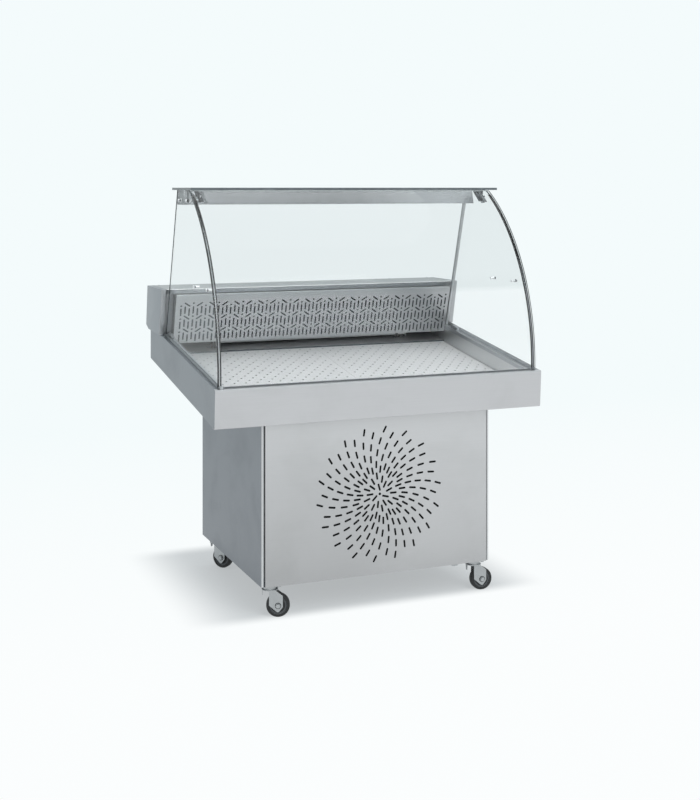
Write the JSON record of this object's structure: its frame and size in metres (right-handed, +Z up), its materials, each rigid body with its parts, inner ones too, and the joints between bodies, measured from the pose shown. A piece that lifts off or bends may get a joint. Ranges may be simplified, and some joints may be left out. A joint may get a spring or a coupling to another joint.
{
  "type": "mobile refrigerated saladette",
  "caption": "Stainless steel refrigerated salad counter on casters with a tilted well, curved glass case and top shelf.",
  "frame": {"origin": "on the floor, under the middle of the overall width and depth", "axes": "+Z up, the customer's side towards -Y, +X to the right of someone who faces the front"},
  "size_m": [1.14, 0.8668, 1.359],
  "materials": {
    "brushed_steel": "satin",
    "side_steel": "satin",
    "front_steel": "satin",
    "well_steel": "satin",
    "zinc_steel": "satin",
    "chrome_trim": "polished",
    "black_enamel": "satin",
    "black_rubber": "matte",
    "black_plastic": "matte",
    "key_plastic": "matte",
    "switch_plastic": "gloss",
    "coil_aluminium": "satin",
    "copper_tube": "satin",
    "white_plastic": "matte",
    "opal_plastic": "matte",
    "foam": "matte",
    "clear_glass": "polished",
    "wheel_rubber": "matte"
  },
  "bodies": {
    "cabinet": {"base_plate": "side_steel", "side_panel_left": "side_steel", "side_panel_right": "side_steel", "front_panel": "front_steel", "back_panel": "side_steel", "pedestal_frame": "zinc_steel", "compressor": "black_enamel", "compressor_feet": "black_rubber", "condenser_coil": "coil_aluminium", "condenser_shroud": "black_plastic", "fan_motors": "black_plastic", "pipework": "copper_tube", "control_box": "zinc_steel", "thermostat": "black_plastic", "power_inlet": "black_plastic", "counter_side_left": "side_steel", "counter_side_right": "side_steel", "fascia": "front_steel", "counter_bottom": "side_steel", "foam_insulation": "foam", "well_liner": "well_steel", "rim_frame": "brushed_steel", "drain_pipe": "white_plastic", "tray_left": "well_steel", "tray_right": "well_steel", "air_grille": "brushed_steel", "housing_shell": "side_steel", "housing_lid_left": "brushed_steel", "housing_lid_right": "brushed_steel", "evaporator_coil": "coil_aluminium", "fan_plate": "zinc_steel", "side_glass_left": "clear_glass", "side_glass_right": "clear_glass", "top_shelf": "clear_glass", "top_bar": "brushed_steel", "lamp_diffuser": "opal_plastic", "cable_tube": "chrome_trim", "hinge_brackets": "zinc_steel", "glass_fittings": "chrome_trim", "foot_gaskets": "black_rubber", "caster_plates": "zinc_steel"},
    "glass_leaf": {"front_glass": "clear_glass", "glass_clips": "zinc_steel"},
    "knob_left": {"clamp_knob_left": "chrome_trim"},
    "knob_right": {"clamp_knob_right": "chrome_trim"},
    "condenser_fan": {"condenser_rotor": "black_plastic"},
    "evaporator_fan_left": {"evaporator_rotor_left": "black_plastic"},
    "evaporator_fan_right": {"evaporator_rotor_right": "black_plastic"},
    "rocker": {"rocker_switch": "switch_plastic"},
    "set_key": {"key_set": "key_plastic"},
    "up_key": {"key_up": "key_plastic"},
    "down_key": {"key_down": "key_plastic"},
    "swivel_fl": {"caster_fl_fork": "zinc_steel"},
    "wheel_fl": {"caster_fl_wheel": "wheel_rubber"},
    "swivel_fr": {"caster_fr_fork": "zinc_steel"},
    "wheel_fr": {"caster_fr_wheel": "wheel_rubber"},
    "swivel_rl": {"caster_rl_fork": "zinc_steel"},
    "wheel_rl": {"caster_rl_wheel": "wheel_rubber"},
    "swivel_rr": {"caster_rr_fork": "zinc_steel"},
    "wheel_rr": {"caster_rr_wheel": "wheel_rubber"}
  },
  "joints": [
    {"name": "front_glass_hinge", "type": "hinge", "parent": "cabinet", "child": "glass_leaf", "pos_m": [0, -0.08639, 1.338], "axis": [-1, 0, 0], "range_deg": [0, 25]},
    {"name": "clamp_left", "type": "hinge", "parent": "cabinet", "child": "knob_left", "pos_m": [-0.525, -0.08239, 1.316], "axis": [-1, 0, 0], "range_deg": [0, 270]},
    {"name": "clamp_right", "type": "hinge", "parent": "cabinet", "child": "knob_right", "pos_m": [0.525, -0.08239, 1.316], "axis": [1, 0, 0], "range_deg": [0, 270]},
    {"name": "condenser_fan_spin", "type": "hinge", "parent": "cabinet", "child": "condenser_fan", "pos_m": [0, -0.2465, 0.269], "axis": [0, 1, 0], "continuous": true},
    {"name": "evaporator_fan_left_spin", "type": "hinge", "parent": "cabinet", "child": "evaporator_fan_left", "pos_m": [-0.185, 0.24302, 0.89202], "axis": [0, 0.9898, 0.1426], "continuous": true},
    {"name": "evaporator_fan_right_spin", "type": "hinge", "parent": "cabinet", "child": "evaporator_fan_right", "pos_m": [0.2, 0.24302, 0.89202], "axis": [0, 0.9898, 0.1426], "continuous": true},
    {"name": "power_rocker", "type": "hinge", "parent": "cabinet", "child": "rocker", "pos_m": [0.47, 0.42413, 0.90398], "axis": [1, 0, 0], "range_deg": [-8, 8]},
    {"name": "press_set", "type": "slide", "parent": "cabinet", "child": "set_key", "axis": [0, -0.9898, -0.1426], "range_m": [0, 0.001], "stiffness_N_per_m": 200, "springref_m": -0.0005},
    {"name": "press_up", "type": "slide", "parent": "cabinet", "child": "up_key", "axis": [0, -0.9898, -0.1426], "range_m": [0, 0.001], "stiffness_N_per_m": 200, "springref_m": -0.0005},
    {"name": "press_down", "type": "slide", "parent": "cabinet", "child": "down_key", "axis": [0, -0.9898, -0.1426], "range_m": [0, 0.001], "stiffness_N_per_m": 200, "springref_m": -0.0005},
    {"name": "caster_fl_swivel", "type": "hinge", "parent": "cabinet", "child": "swivel_fl", "pos_m": [-0.3625, -0.3365, 0.095], "axis": [0, 0, 1], "continuous": true},
    {"name": "caster_fl_roll", "type": "hinge", "parent": "swivel_fl", "child": "wheel_fl", "pos_m": [-0.33792, -0.34497, 0.0375], "axis": [0.3256, 0.9455, 0], "continuous": true},
    {"name": "caster_fr_swivel", "type": "hinge", "parent": "cabinet", "child": "swivel_fr", "pos_m": [0.3625, -0.3365, 0.095], "axis": [0, 0, 1], "continuous": true},
    {"name": "caster_fr_roll", "type": "hinge", "parent": "swivel_fr", "child": "wheel_fr", "pos_m": [0.38836, -0.33922, 0.0375], "axis": [0.1045, 0.9945, 0], "continuous": true},
    {"name": "caster_rl_swivel", "type": "hinge", "parent": "cabinet", "child": "swivel_rl", "pos_m": [-0.3625, 0.2515, 0.095], "axis": [0, 0, 1], "continuous": true},
    {"name": "caster_rl_roll", "type": "hinge", "parent": "swivel_rl", "child": "wheel_rl", "pos_m": [-0.34579, 0.23158, 0.0375], "axis": [0.766, 0.6428, 0], "continuous": true},
    {"name": "caster_rr_swivel", "type": "hinge", "parent": "cabinet", "child": "swivel_rr", "pos_m": [0.3625, 0.2515, 0.095], "axis": [0, 0, 1], "continuous": true},
    {"name": "caster_rr_roll", "type": "hinge", "parent": "swivel_rr", "child": "wheel_rr", "pos_m": [0.38793, 0.24609, 0.0375], "axis": [0.2079, 0.9781, 0], "continuous": true}
  ]
}
